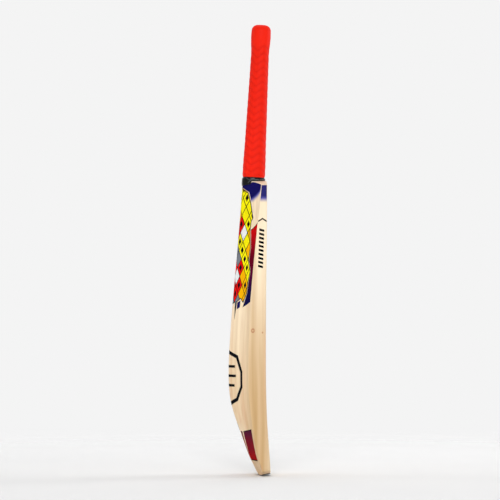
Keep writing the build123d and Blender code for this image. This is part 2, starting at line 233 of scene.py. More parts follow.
def willow_colour(tree, position):
    """Colour, roughness and height of pale willow with straight grain along the blade, with a painted sheen
    towards the spine and painted light towards the face.
    """
    split = make(tree, "ShaderNodeSeparateXYZ", {0: position}).outputs
    knot_mark, push = knots(tree, position)
    late = latewood(tree, position, split["X"], push)
    # painted light: the lower darkening and the streaks are weaker towards the spine, as a painted sheen on
    # the grazing back, and towards the face, as painted light on that side
    spine_sheen_paint = spread(tree, split["Y"], *PAINTED_SHEEN_SPINE, 1.0, DARK_LEFT_UNDER_SHEEN)
    face_light_paint = spread(tree, split["Y"], *PAINTED_LIGHT_FACE, 1.0, DARK_LEFT_UNDER_FACE_LIGHT)
    darkness_after_painted_light = maths(tree, "MULTIPLY", spine_sheen_paint, face_light_paint)
    tone = noise(tree, stretched(tree, position, (38, 46, 1.7), (3, 1, 2)), 1.0, 3.0, 0.55)
    change = maths(tree, "MULTIPLY", maths(tree, "SUBTRACT", tone, 0.5), TONE_CHANGE)
    low_down = spread(tree, split["Z"], HONEY_FROM, DARKEST_AT, 0.0, 0.95)
    warm = maths(tree, "ADD", maths(tree, "MULTIPLY", low_down, darkness_after_painted_light), change, clamp=True)
    colour = mix(tree, warm, linear(CREAM), linear(HONEY))
    streak = noise(tree, stretched(tree, position, (75, 90, 2.6), (8, 4, 1)), 1.0, 3.0, 0.6)
    streaked = spread(tree, split["Z"], STREAKS_FROM, DARKEST_AT, 0.15, 0.75)
    streaked = maths(tree, "MULTIPLY", streaked, darkness_after_painted_light)
    pink = maths(tree, "MULTIPLY", spread(tree, streak, 0.49, 0.70), streaked)
    colour = mix(tree, pink, colour, linear(PINK_STREAK))
    colour = mix(tree, maths(tree, "MULTIPLY", late, LATE_STRENGTH), colour, linear(LATEWOOD))
    fibre = noise(tree, stretched(tree, position, (1500, 1500, 26)), 1.0, 3.0, 0.6)
    colour = mix(tree, spread(tree, fibre, 0.62, 0.80, 0.0, FIBRE_STRENGTH), colour, linear(LATEWOOD))
    colour = mix(tree, maths(tree, "MULTIPLY", knot_mark, KNOT_STRENGTH), colour, linear(KNOT))
    rough = spread(tree, fibre, 0.3, 0.7, 0.40, 0.52)
    groove = maths(tree, "MULTIPLY", late, 0.25)
    height = maths(tree, "SUBTRACT", maths(tree, "MULTIPLY", fibre, 0.35), groove)
    return colour, rough, height


def willow():
    material, tree, shader, position = new_material("willow", 0.45)
    colour, rough, height = willow_colour(tree, position)
    link(tree, colour, shader.inputs["Base Color"])
    link(tree, rough, shader.inputs["Roughness"])
    bump(tree, shader, height, 0.25, 0.0004)
    return material


# ---- vinyl -------------------------------------------------------------------------------------
VINYL_ROUGHNESS = 0.4


def vinyl(name, colour):
    return mottled(name, colour, VINYL_ROUGHNESS, scale=500.0, change=0.07, specular=0.0)


def faded_vinyl(name, colour, start, end):
    """Vinyl that fades between two points, by way of a paler blue, to the bare wood."""
    material, tree, shader, position = new_material(name, VINYL_ROUGHNESS, specular=0.0)
    wood, _, _ = willow_colour(tree, position)
    run = Vector(end) - Vector(start)
    inputs = {0: position, 1: tuple(start)}
    away = make(tree, "ShaderNodeVectorMath", inputs, operation="SUBTRACT").outputs[0]
    inputs = {0: away, 1: tuple(run / run.length_squared)}
    along = make(tree, "ShaderNodeVectorMath", inputs, operation="DOT_PRODUCT").outputs["Value"]
    blue = mix(tree, spread(tree, along, 0.0, 0.6), linear(colour), linear(FADED_NAVY))
    fade = spread(tree, along, 0.3, 1.0)
    link(tree, mix(tree, fade, blue, wood), shader.inputs["Base Color"])
    return material


def graded_vinyl(name, stops):
    """Vinyl whose colour changes with height: pairs of height and colour, lowest first."""
    material, tree, shader, position = new_material(name, VINYL_ROUGHNESS, specular=0.0)
    height = make(tree, "ShaderNodeSeparateXYZ", {0: position}).outputs["Z"]
    colour = linear(stops[0][1])
    for (low, _), (high, after) in zip(stops, stops[1:]):
        colour = mix(tree, spread(tree, height, low, high), colour, linear(after))
    print_dots = noise(tree, stretched(tree, position, (700,) * 3), 1.0, 2.0)
    colour = mix(tree, spread(tree, print_dots, 0.3, 0.7, 0.0, 0.10), colour, linear(BLACK))
    link(tree, colour, shader.inputs["Base Color"])
    return material


# ---- other materials ---------------------------------------------------------------------------
def cane(seed):
    """Split cane: long fibres that show as dots on a cut end."""
    material, tree, shader, position = new_material(f"cane_{seed}", 0.55)
    fibres = noise(tree, stretched(tree, position, (1400, 1400, 14), (seed * 3.1, 0, 0)), 1.0, 3.0, 0.65)
    tone = noise(tree, stretched(tree, position, (120, 120, 4), (seed * 1.7, 2, 0)), 1.0, 2.0)
    dark_fibres = spread(tree, fibres, 0.42, 0.66, 0.0, 0.7)
    factor = maths(tree, "ADD", dark_fibres, maths(tree, "MULTIPLY", tone, 0.4), clamp=True)
    link(tree, mix(tree, factor, linear(CANE_PALE), linear(CANE_DARK)), shader.inputs["Base Color"])
    bump(tree, shader, fibres, 0.35, 0.0004)
    return material


def mottled(name, colour, roughness, coat=0.0, scale=900.0, change=0.16, relief=0.0, specular=0.5):
    """One colour with small changes of tone, of gloss and of height."""
    material, tree, shader, position = new_material(name, roughness, coat, specular)
    fine = noise(tree, stretched(tree, position, (scale,) * 3), 1.0, 3.0, 0.6)
    broad = noise(tree, stretched(tree, position, (scale / 14,) * 3, (2, 5, 1)), 1.0, 2.0)
    both = maths(tree, "ADD", maths(tree, "MULTIPLY", fine, 0.4), maths(tree, "MULTIPLY", broad, 0.6))
    dark = tuple(c * (1 - change) for c in colour)
    light = tuple(min(255, c * (1 + change * 0.5) + change * 8) for c in colour)
    shade = mix(tree, spread(tree, both, 0.3, 0.7), linear(dark), linear(light))
    link(tree, shade, shader.inputs["Base Color"])
    link(tree, spread(tree, fine, 0.2, 0.8, roughness - 0.05, roughness + 0.07), shader.inputs["Roughness"])
    if relief:
        bump(tree, shader, fine, relief, 0.0003)
    return material


# ---- following the CAD surfaces ----------------------------------------------------------------
CANE_NODES = [name for name in nodes if name.startswith("cane_slip")]
SPRING_NODES = [name for name in nodes if name.startswith("rubber_spring")]


def joined_tree(names):
    """The named CAD nodes as one surface that rays can be sent at."""
    verts, faces = [], []
    for name in names:
        mesh = nodes[name].data
        start = len(verts)
        verts += [v.co.copy() for v in mesh.vertices]
        faces += [[start + i for i in p.vertices] for p in mesh.polygons]
    return BVHTree.FromPolygons(verts, faces)


bat_tree = joined_tree(["willow_blade"] + CANE_NODES + SPRING_NODES)
BACK = Vector((0, 1, 0))
CLEAR_OF_BAT = 0.3  # a distance from the middle plane at which a ray starts outside the bat
OUTER_LEAN = 0.12  # least part of a face's normal that points outwards on a decal's outer sheet


def surface_towards(outward):
    """A function of a flat point that finds the bat's surface there, seen from outside."""
    def find(a, z):
        for nudge in (0, 0.00002, -0.00002, 0.00005):  # past a ray that slips between two faces
            start = Vector((a + nudge, 0, z + nudge)) if outward.y else Vector((0, a + nudge, z + nudge))
            hit, normal, _, _ = bat_tree.ray_cast(start + outward * CLEAR_OF_BAT, -outward)
            if hit:
                return hit, normal
        return None, None
    return find


def outline_of(name, outward):
    """The closed loops, as flat points, round the outer sheet of a CAD decal."""
    mesh = nodes[name].data
    follows, place = {}, {}
    edges = set()
    for face in mesh.polygons:
        if face.normal.dot(outward) < OUTER_LEAN:
            continue
        keys = []
        for i in face.vertices:
            co = mesh.vertices[i].co
            flat = (co.x, co.z) if outward.y else (co.y, co.z)
            keys.append(tuple(round(c, 6) for c in (*flat, co.dot(outward))))
            place[keys[-1]] = flat
        edges |= {(keys[i], keys[(i + 1) % len(keys)]) for i in range(len(keys))}
    for a, b in edges:
        if (b, a) not in edges:
            follows[a] = b
    loops = []
    while follows:
        first, now = next(iter(follows.items()))
        loop = [first]
        del follows[first]
        while now in follows:
            loop.append(now)
            now = follows.pop(now)
        loops.append([place[key] for key in loop])
    return sorted(loops, key=lambda loop: -abs(area(loop)))


def area(points):
    pairs = zip(points, points[1:] + points[:1])
    return sum(a[0] * b[1] - b[0] * a[1] for a, b in pairs) / 2


def add_mesh(name, verts, faces, materials, slots=None):
    mesh = bpy.data.meshes.new(name)
    mesh.from_pydata([tuple(v) for v in verts], [], [tuple(f) for f in faces])
    for material in materials:
        mesh.materials.append(material)
    if slots:
        mesh.polygons.foreach_set("material_index", slots)
    mesh.polygons.foreach_set("use_smooth", [True] * len(mesh.polygons))
    mesh.update()
    shown = bpy.data.objects.new(name, mesh)
    bpy.context.scene.collection.objects.link(shown)
    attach(shown, "root")
    return shown


# ---- decals ------------------------------------------------------------------------------------
DECAL_HEIGHT = 0.00012  # above the bat's surface
DECAL_SUNK = 0.3  # how far its underside lies in the surface, as a share of that height
# distances between points across a sheet, finer round the corners of the side edges, and along it
BACK_STEP, EDGE_STEP, ROW_STEP = 0.0014, 0.0004, 0.004
# closer points in columns on each side of the spine's ridge
SPINE_STEP, SPINE_ROW, SPINE_COLUMNS = 0.0004, 0.0015, 10
MERGE = 1e-7  # points closer than this become one
SHARPEST = 0.35  # keeps the corners of an inset outline from reaching further than distance / SHARPEST
HARD_EDGE = math.radians(50)


def dense(points, step):
    """The closed outline with points added so that none are further apart than step."""
    out = []
    for a, b in zip(points, list(points[1:]) + [points[0]]):
        count = max(1, math.ceil(math.dist(a, b) / step))
        out += [(a[0] + (b[0] - a[0]) * i / count, a[1] + (b[1] - a[1]) * i / count) for i in range(count)]
    return out


def inset(points, distance):
    """The closed outline moved inwards, with its sharpest corners kept short."""
    turn = 1 if area(points) > 0 else -1
    out = []
    for before, here, after in zip(points[-1:] + points[:-1], points, points[1:] + points[:1]):
        a = (Vector(here) - Vector(before)).normalized()
        b = (Vector(after) - Vector(here)).normalized()
        left_a, left_b = Vector((-a.y, a.x)) * turn, Vector((-b.y, b.x)) * turn
        lean = left_a + left_b
        reach = distance / max(SHARPEST, lean.length / 2)
        middle = lean.normalized() if lean.length > 1e-6 else left_a
        out.append(tuple(Vector(here) + middle * reach))
    return out


def inner_points(low, high, step, by_spine):
    """Points over the inside of a sheet, closer together next to the spine's ridge if it has one."""
    out = []
    for i in range(1, math.ceil((high[0] - low[0]) / step)):
        for j in range(math.ceil((high[1] - low[1]) / ROW_STEP)):
            out.append((low[0] + i * step, low[1] + (j + 0.3 + 0.5 * (i % 2)) * ROW_STEP))
    if by_spine:
        for i in range(-SPINE_COLUMNS, SPINE_COLUMNS + 1):
            for j in range(math.ceil((high[1] - low[1]) / SPINE_ROW)):
                out.append((i * SPINE_STEP, low[1] + (j + 0.2 + 0.5 * (i % 2)) * SPINE_ROW))
    return out


def cut_sheet(own, regions, step, by_spine, bordered):
    """A sheet's flat points, its triangles and the material number of each, from its own outlines and from
    the regions painted on it."""
    outlines = [dense(loop, step) for loop in own + [outline for outline, _ in regions]]
    outlines = [outline if area(outline) > 0 else outline[::-1] for outline in outlines]
    points, rings = [], []
    for outline in outlines:
        rings.append(list(range(len(points), len(points) + len(outline))))
        points += outline
    low = [min(p[i] for p in outlines[0]) for i in (0, 1)]
    high = [max(p[i] for p in outlines[0]) for i in (0, 1)]
    points += inner_points(low, high, step, by_spine and low[0] < 0 < high[0])
    flat, _, triangles, _, _, origins = delaunay_2d_cdt([Vector(p) for p in points], [], rings, 1, MERGE)
    keep, slots = [], []
    for triangle, origin in zip(triangles, origins):
        if sum(1 for i in origin if i < len(own)) % 2:
            over = [i - len(own) for i in origin if i >= len(own)]
            keep.append(triangle)
            shows = over and (0 in over or not bordered)
            slots.append(regions[max(over)][1] if shows else 0)
    return flat, keep, slots


def decal(name, outward, materials, regions=(), bordered=False):
    """A thin printed sheet with the outline of the CAD decal of that name, lying on the bat. regions are
    (outline, material number) painted one over another on a sheet of the first material. On a bordered
    sheet, the later ones show only inside the first."""
    step = BACK_STEP if outward.y else EDGE_STEP
    own = outline_of(name, outward)
    flat, keep, slots = cut_sheet(own, regions, step, outward.y, bordered)
    surface = surface_towards(outward)
    used = sorted({i for triangle in keep for i in triangle})
    index = {old: new for new, old in enumerate(used)}
    top, bottom = [], []
    for i in used:
        hit, normal = surface(*flat[i])
        if hit is None:
            raise ValueError(f"{name}: no surface at {tuple(flat[i])}")
        top.append(hit + normal * DECAL_HEIGHT)
        bottom.append(hit - normal * DECAL_HEIGHT * DECAL_SUNK)
    faces, count, slot_of = [], len(used), {}
    for triangle, slot in zip(keep, slots):
        a, b, c = (index[i] for i in triangle)
        if (top[b] - top[a]).cross(top[c] - top[a]).dot(outward) < 0:
            b, c = c, b
        faces.append((a, b, c))
        slot_of |= {(a, b): slot, (b, c): slot, (c, a): slot}
    rim = [edge for edge in slot_of if (edge[1], edge[0]) not in slot_of]
    under = [(a + count, c + count, b + count) for a, b, c in faces]
    walls = [(b, a, a + count, b + count) for a, b in rim]
    slots = slots + slots + [slot_of[edge] for edge in rim]
    shown = add_mesh(f"print_{name}", top + bottom, faces + under + walls, materials, slots)
    shown.data.set_sharp_from_angle(angle=HARD_EDGE)
    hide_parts(name)


# ---- the print of the back graphic: a lattice of lozenges, lengths in millimetres -----------------
LINE = 1.6  # width of the black line inside the outline
LOZENGE_WIDE, LOZENGE_HIGH = 15.0, 33.0
LOZENGE_LINE = 0.7  # half of the line between lozenges
CORE, CORE_CHANCE = 0.48, 0.5  # size of the black cores, and the share of lozenges that have one
INKS = [BLACK, YELLOW, AMBER, SCARLET, WHITE, STEEL]
BLACK_INK, YELLOW_INK, AMBER_INK, SCARLET_INK, WHITE_INK, STEEL_INK = range(len(INKS))
# top of each zone above the graphic's lower end, reach from the spine of its inner inks, inner and
# outer inks to choose from
ZONES = [
    (62, 16, (SCARLET_INK, SCARLET_INK, STEEL_INK), (YELLOW_INK, AMBER_INK, AMBER_INK)),
    (110, 16, (SCARLET_INK, SCARLET_INK, WHITE_INK), (AMBER_INK, YELLOW_INK, AMBER_INK)),
    (150, 9, (SCARLET_INK, STEEL_INK, YELLOW_INK), (YELLOW_INK, YELLOW_INK, AMBER_INK)),
    (190, 16, (SCARLET_INK, SCARLET_INK, WHITE_INK), (YELLOW_INK, YELLOW_INK, AMBER_INK)),
    (400, 7, (YELLOW_INK, AMBER_INK), (YELLOW_INK, YELLOW_INK, YELLOW_INK, AMBER_INK)),
]


def lozenge(x, z, wide, high):
    return [(x - wide / 2, z), (x, z - high / 2), (x + wide / 2, z), (x, z + high / 2)]


def back_graphic():
    """A lattice of lozenges inside a black outline, the same on both sides of the spine."""
    low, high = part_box("back_graphic")
    outline = outline_of("back_graphic", BACK)[0]
    regions = [(inset(outline, LINE * MM), BLACK_INK)]
    rows = math.ceil((high.z - low.z) / MM / LOZENGE_HIGH * 2) + 1
    wide, tall = (LOZENGE_WIDE - 2 * LOZENGE_LINE) * MM, (LOZENGE_HIGH - 4 * LOZENGE_LINE) * MM
    for row in range(rows):
        z = row * LOZENGE_HIGH / 2
        zone = next(zone for zone in ZONES if z < zone[0])
        for column in range(math.ceil(high.x / MM / LOZENGE_WIDE) + 1):
            x = (column + 0.5 * (row % 2)) * LOZENGE_WIDE
            ink = random.choice(zone[2] if x < zone[1] else zone[3])
            core = random.random() < CORE_CHANCE
            for side in (1, -1) if x else (1,):
                place = (side * x * MM, low.z + z * MM)
                regions.append((lozenge(*place, wide, tall), ink))
                if core:
                    regions.append((lozenge(*place, wide * CORE, tall * CORE), BLACK_INK))
    materials = [vinyl(f"ink_{i}", colour) for i, colour in enumerate(INKS)]
    decal("back_graphic", BACK, materials, regions, bordered=True)


# ---- plainer decals ----------------------------------------------------------------------------
CORNER = 5  # least turn of a corner, in degrees
FLATTEST = 0.8  # least run for its rise of an edge that counts as an upper or a lower one
PANEL_BAND = 0.0022  # width of the black band at the top of the back panels
TOE_TOP_BAND, TOE_LOW_BAND = 0.0018, 0.0020
SHOULDER_FADE = 0.012  # length of the fade above the lower edge of the shoulder panels
SHOULDER_FADE_SHORT = 0.12  # how far above that edge the fade ends, as a share of its length
SHOULDER_SIDE = 0.045  # the panel's outer corners are further than this from the middle
EDGE_FADE = 0.015  # length of the fade at the lower end of the edge panels


def corners(outline):
    """The points of a closed outline where it turns by more than a few degrees."""
    out = []
    for before, here, after in zip(outline[-1:] + outline[:-1], outline, outline[1:] + outline[:1]):
        a, b = Vector(here) - Vector(before), Vector(after) - Vector(here)
        if math.degrees(a.angle(b, 0.0)) > CORNER:
            out.append(here)
    return out


def band(outline, end, width):
    """The part of a panel's outline within a width of its upper (1) or lower (-1) edge."""
    points = corners(outline)
    flat_edges = []
    for a, b in zip(points, points[1:] + points[:1]):
        if abs(a[0] - b[0]) > abs(a[1] - b[1]) * FLATTEST:
            flat_edges.append((end * (a[1] + b[1]), a, b))
    _, a, b = max(flat_edges)
    run = Vector(b) - Vector(a)
    a, b = Vector(a) - run, Vector(b) + run
    down = Vector((0, -end * width))
    up = Vector((0, end * width * 3))  # well past the rim, at which the sheet ends anyway
    return [tuple(a + down), tuple(b + down), tuple(b + up), tuple(a + up)]


def shoulder_fade(side, sign):
    """The shoulder panel's vinyl, which fades to the wood along the panel's slanting lower edge."""
    points = corners(outline_of(f"shoulder_panel_{side}", BACK)[0])
    a = min(points, key=lambda point: point[1])
    b = min((point for point in points if abs(point[0]) > SHOULDER_SIDE), key=lambda point: point[1])
    run = Vector((b[0] - a[0], 0, b[1] - a[1])).normalized()
    down = Vector((run.z * sign, 0, -abs(run.x))) * SHOULDER_FADE
    end = Vector(((a[0] + b[0]) / 2, 0, (a[1] + b[1]) / 2)) - down * SHOULDER_FADE_SHORT
    return faded_vinyl(f"vinyl_shoulder_{side}", NAVY, end - down, end)


def plain_decals():
    black = vinyl("vinyl_black", BLACK)
    navy = vinyl("vinyl_navy", NAVY)
    low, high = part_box("back_panel_right")
    span = high.z - low.z
    panel = graded_vinyl("vinyl_panel", [(low.z + 0.14 * span, DARK_NAVY), (low.z + 0.56 * span, MAROON),
                                         (low.z + 0.96 * span, RED)])
    low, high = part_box("toe_panel_right")
    span = high.z - low.z
    toe = graded_vinyl("vinyl_toe", [(low.z, DULL_RED), (low.z + 0.45 * span, WINE), (high.z, PLUM)])
    for side, sign in (("right", 1), ("left", -1)):
        edge = Vector((sign, 0, 0))
        decal(f"shoulder_panel_{side}", BACK, [shoulder_fade(side, sign)])
        low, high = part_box(f"edge_panel_{side}")
        end = Vector((0, 0, low.z))
        fade = faded_vinyl(f"vinyl_edge_{side}", EDGE_NAVY, end + Vector((0, 0, EDGE_FADE)), end)
        decal(f"edge_panel_{side}", edge, [fade])
        decal(f"edge_chevron_{side}", edge, [black])
        decal(f"edge_bars_{side}", edge, [black])
        outline = outline_of(f"back_panel_{side}", BACK)[0]
        decal(f"back_panel_{side}", BACK, [panel, black], [(band(outline, 1, PANEL_BAND), 1)])
        outline = outline_of(f"toe_panel_{side}", BACK)[0]
        bands = [(band(outline, 1, TOE_TOP_BAND), 1), (band(outline, -1, TOE_LOW_BAND), 1)]
        decal(f"toe_panel_{side}", BACK, [toe, black], bands)
        decal(f"toe_stripe_{side}", BACK, [toe])
        decal(f"back_strip_{side}", BACK, [navy])
    for name in ("toe_line", "back_emblem_ring", "back_emblem_bars"):
        decal(name, BACK, [black])


# ---- grip --------------------------------------------------------------------------------------
mount = next(m for m in frame["record"]["mounts"] if m["name"] == "hand_grip")
GRIP_POINT = Vector(mount["pos_m"])
UP_HANDLE = Vector(mount["axis"]).normalized()
SIDEWAYS = Vector((1, 0, 0))
BACKWARDS = UP_HANDLE.cross(SIDEWAYS)
CLEAR_OF_HANDLE = 0.12  # a distance from the handle's middle at which a ray starts outside it
GRIP_AROUND = 200  # points round the grip
GRIP_STEP = 0.00055  # between rings of points along it
GRIP_FIRST_RING = 0.0004  # above the grip's lower end
LIP_DEPTH, LIP_RINGS = 0.0009, 3  # how far the lower end is rounded off, and over how many rings
GRIP_WALL, GRIP_WALL_UP = 0.0012, 0.004  # thickness at the lower end, and how far up inside it is shown
TURN_BELOW_TOP = 0.0185  # where the grip begins to turn over to its open top end
TURN_RINGS = 40
RIBS_BELOW_TOP = 0.030  # where the ribs stop
GRIP_MOUTH_RADIUS = 0.0086
MOUTH_RINGS = ((0.0082, 0.0006), (0.0080, 0.0018))  # radius, and how far below the top
ABOVE_CANE = 0.0001  # where the sides of the hole stop
GRIP_HARD_EDGE = math.radians(60)
RIB_PITCH = 0.0136
FINE_PITCH = RIB_PITCH / 4
RIB_HEIGHT = 0.00060
FINE_HEIGHT = 0.00022
RIB_FLATNESS = 0.6  # makes the ribs flat on top and the grooves narrow
RIBS_FADE_IN, RIBS_FADE_OUT = 0.005, 0.012  # lengths over which they rise and sink at their ends
CHEVRONS = 4  # round the handle
CHEVRON_RISE = 0.0052  # from a chevron's middle to its tips


def round_handle(angle, up):
    """A direction from the middle of the handle: angle round it, up from square to it."""
    flat = SIDEWAYS * math.cos(angle) + BACKWARDS * math.sin(angle)
    return flat * math.cos(up) + UP_HANDLE * math.sin(up)


def handle_height(point):
    return (Vector(point) - GRIP_POINT).dot(UP_HANDLE)


def zigzag(angle):
    """From -1 to 1 and back, once for each chevron round the handle."""
    turn = (angle / (2 * math.pi) * CHEVRONS + 0.25) % 1.0
    return abs(turn * 4 - 2) - 1


def rib(angle, height, start, stop):
    """How far the ribs stand out at a place, and how far down a groove it is, which sets the grip's painted
    shade there, fading at both ends.
    """
    along = height + zigzag(angle) * CHEVRON_RISE
    broad = abs(math.sin(math.pi * along / RIB_PITCH)) ** RIB_FLATNESS
    fine = abs(math.sin(math.pi * along / FINE_PITCH)) ** RIB_FLATNESS
    begun = min(1.0, max(0.0, (height - start) / RIBS_FADE_IN))
    fade = begun * min(1.0, max(0.0, (stop - height) / RIBS_FADE_OUT))
    groove = fade * (0.35 * (1 - broad) + 0.65 * (1 - fine))
    return fade * (RIB_HEIGHT * broad + FINE_HEIGHT * fine), groove


def grip_material():
    """Red rubber, with painted shade that darkens it down in the grooves between the ribs."""
    material, tree, shader, position = new_material("grip_rubber", 0.55, specular=0.06)
    groove = make(tree, "ShaderNodeAttribute", attribute_name="groove").outputs["Fac"]
    fine = noise(tree, stretched(tree, position, (1300,) * 3), 1.0, 3.0, 0.6)
    # painted shade: the red turns darker deeper in a groove, with fine noise for the rubber's mottling
    groove_shade_and_mottle = maths(tree, "ADD", maths(tree, "MULTIPLY", groove, 0.8), maths(tree, "MULTIPLY", fine, 0.3))
    colour = mix(tree, spread(tree, groove_shade_and_mottle, 0.22, 0.92), linear(RED_GRIP), linear(RED_GROOVE_SHADE))
    link(tree, colour, shader.inputs["Base Color"])
    link(tree, spread(tree, fine, 0.2, 0.8, 0.42, 0.54), shader.inputs["Roughness"])
    bump(tree, shader, fine, 0.12, 0.0003)
    return material


def ways_round(up=0):
    """The directions from the middle of the handle to one ring of the grip's points."""
    return [round_handle(2 * math.pi * i / GRIP_AROUND, up) for i in range(GRIP_AROUND)]


def ribbed_rings(tree, bottom, turn, rib_stop):
    """The rings of points up the ribbed side of the grip, and how deep in a groove each point lies, for the
    painted shade in the grooves.
    """
    rings, groove_shades = [], []
    first = bottom + GRIP_FIRST_RING
    count = round((turn - bottom - GRIP_FIRST_RING) / GRIP_STEP)
    for row in range(count):
        height = first + row * (turn - bottom - GRIP_FIRST_RING) / count
        centre = GRIP_POINT + UP_HANDLE * height
        lip = LIP_DEPTH * max(0.0, 1 - row / LIP_RINGS) ** 2
        ring = []
        for i, way in enumerate(ways_round()):
            hit = tree.ray_cast(centre + way * CLEAR_OF_HANDLE, -way)[0]
            rise, groove = rib(2 * math.pi * i / GRIP_AROUND, height, bottom, rib_stop)
            ring.append(hit + way * (rise - lip))
            groove_shades.append(groove)
        rings.append(ring)
    return rings, groove_shades


def top_rings(tree, turn, top, cane_top):
    """The rings of points over the rounded top of the grip and down through its hole to the cane."""
    rings = []
    centre = GRIP_POINT + UP_HANDLE * turn
    last_up = math.atan2(top - turn, GRIP_MOUTH_RADIUS)
    for step in range(TURN_RINGS + 1):
        ways = ways_round(last_up * step / TURN_RINGS)
        rings.append([tree.ray_cast(centre + way * CLEAR_OF_HANDLE, -way)[0] for way in ways])
    mouth = [(radius, top - below) for radius, below in MOUTH_RINGS]
    mouth.append((MOUTH_RINGS[-1][0], cane_top + ABOVE_CANE))
    for radius, height in mouth:
        rings.append([GRIP_POINT + UP_HANDLE * height + way * radius for way in ways_round()])
    return rings


def rubber_grip():
    """The grip's outer surface from the CAD grip, with raised chevron ribs and painted shade in their
    grooves.
    """
    tree = joined_tree(["rubber_grip"])
    cane_top = max(handle_height(v.co) for name in CANE_NODES for v in nodes[name].data.vertices)
    heights = [handle_height(v.co) for v in nodes["rubber_grip"].data.vertices]
    bottom, top = min(heights), max(heights)
    turn = top - TURN_BELOW_TOP
    side, groove_shades = ribbed_rings(tree, bottom, turn, top - RIBS_BELOW_TOP)
    inner = [point - way * GRIP_WALL for point, way in zip(side[0], ways_round())]
    deep = [point + UP_HANDLE * GRIP_WALL_UP for point in inner]
    rings = [deep, inner] + side + top_rings(tree, turn, top, cane_top)
    verts = [point for ring in rings for point in ring]
    faces = []
    for row in range(len(rings) - 1):
        for i in range(GRIP_AROUND):
            a, b = row * GRIP_AROUND + i, row * GRIP_AROUND + (i + 1) % GRIP_AROUND
            faces.append((a, b, b + GRIP_AROUND, a + GRIP_AROUND))
    shown = add_mesh("grip_sleeve", verts, faces, [grip_material()])
    # painted shade in the grooves, carried by the groove attribute; the lower end's inner rings get none
    groove_shades = [0.0] * (2 * GRIP_AROUND) + groove_shades
    groove_shades += [0.0] * (len(verts) - len(groove_shades))
    shown.data.attributes.new("groove", "FLOAT", "POINT").data.foreach_set("value", groove_shades)
    shown.data.set_sharp_from_angle(angle=GRIP_HARD_EDGE)
    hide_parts("rubber_grip")


# ---- twine -------------------------------------------------------------------------------------
STRAND = 0.00058  # radius of the twine
STRAND_SIDES = 8
COILS = 8
STEPS_ROUND = 140
BELOW_RING_TOP = 0.0002  # keeps the rays off the CAD ring's upper edge
# steps down the CAD ring in search of its lower edge: the first below its top, their length and how many
LOW_START, LOW_STEP, LOW_TRIES = 0.0016, 0.0004, 60
END_GAP = 0.0006  # between the outer turns' middles and the ends of the ring
SMOOTHING = 4  # places on each side over which the lower edge is levelled out
REACH_STEP, REACH_TRIES = 0.0003, 40  # steps up from a place with no ring behind it to one that has
TURN_NUDGE = 0.0007  # keeps the rays off the seams between the ring's faces
BESIDE_GRIP = 1.05  # where a turn goes with no ring to lie on, in half widths of the grip from its middle
STRAND_OUT = 0.35  # how far the strand's middle stands out from the ring, in radii
UNEVEN, UNEVEN_TURNS = 0.00008, 2.3  # how far the coils wander in and out, and how often in a turn
TIE = 0.00062  # radius of the loose turns that cross the coils
TIE_OUT = 1.1  # how much further out they lie than the coils, in radii of the twine
TIE_STEPS = 50
# start and end of each loose turn: angle round the handle, and share of the way up the coils
TIES = ((2.35, 3.35, 0.95, 0.15), (2.55, 3.15, 0.25, 0.95), (2.75, 3.55, 0.98, 0.25), (3.3, 4.3, 0.45, 0.5),
        (5.5, 6.5, 0.95, 0.15), (5.7, 6.4, 0.15, 0.95))


def tube(path, radius, verts, faces):
    """Adds a round tube along the path."""
    start = len(verts)
    for i, point in enumerate(path):
        along = (path[min(i + 1, len(path) - 1)] - path[max(i - 1, 0)]).normalized()
        side = along.cross(UP_HANDLE).normalized()
        up = side.cross(along)
        for k in range(STRAND_SIDES):
            turn = 2 * math.pi * k / STRAND_SIDES
            verts.append(point + (side * math.cos(turn) + up * math.sin(turn)) * radius)
    for i in range(len(path) - 1):
        for k in range(STRAND_SIDES):
            a, b = start + i * STRAND_SIDES + k, start + i * STRAND_SIDES + (k + 1) % STRAND_SIDES
            faces.append((a, b, b + STRAND_SIDES, a + STRAND_SIDES))
    faces.append([start + k for k in reversed(range(STRAND_SIDES))])
    last = start + (len(path) - 1) * STRAND_SIDES
    faces.append([last + k for k in range(STRAND_SIDES)])


whipping_tree = joined_tree(["twine_whipping"])
WHIPPING_TOP = max(handle_height(v.co) for v in nodes["twine_whipping"].data.vertices) - BELOW_RING_TOP


def whipping_surface(angle, height):
    """The outside of the whipping's CAD ring at a place, unless the blade hides it."""
    direction = round_handle(angle + TURN_NUDGE, 0)
    centre = GRIP_POINT + UP_HANDLE * height
    hit = whipping_tree.ray_cast(centre + direction * CLEAR_OF_HANDLE, -direction)[0]
    wood = bat_tree.ray_cast(centre + direction * CLEAR_OF_HANDLE, -direction)[0]
    if hit is None or (hit - centre).dot(direction) < 0:
        return None
    hidden = wood is not None and (wood - centre).dot(direction) >= (hit - centre).dot(direction)
    return None if hidden else hit


def lowest_turn():
    """The height of the lowest turn all round the handle, which follows the ring's lower edge."""
    lows = []
    for i in range(STEPS_ROUND):
        angle = 2 * math.pi * i / STEPS_ROUND
        height = WHIPPING_TOP - LOW_START
        for _ in range(LOW_TRIES):
            if whipping_surface(angle, height - LOW_STEP) is None:
                break
            height -= LOW_STEP
        lows.append(height + END_GAP)
    near = range(-SMOOTHING, SMOOTHING + 1)
    return [sum(lows[(i + k) % STEPS_ROUND] for k in near) / len(near) for i in range(STEPS_ROUND)]


def strand_place(lows, angle, share, out):
    """The strand's middle at an angle and a share of the way up the coils, moved outwards by out."""
    low = lows[round(angle / (2 * math.pi) * STEPS_ROUND) % STEPS_ROUND]
    height = low + (WHIPPING_TOP - END_GAP - low) * share
    way = round_handle(angle, 0)
    for step in range(REACH_TRIES):
        hit = whipping_surface(angle, height + step * REACH_STEP)
        if hit:
            break
    else:
        hit = GRIP_POINT + UP_HANDLE * WHIPPING_TOP + way * (grip_high.x * BESIDE_GRIP)
        step = round((WHIPPING_TOP - height) / REACH_STEP)
    return hit - UP_HANDLE * (step * REACH_STEP) + way * (STRAND * STRAND_OUT + out)


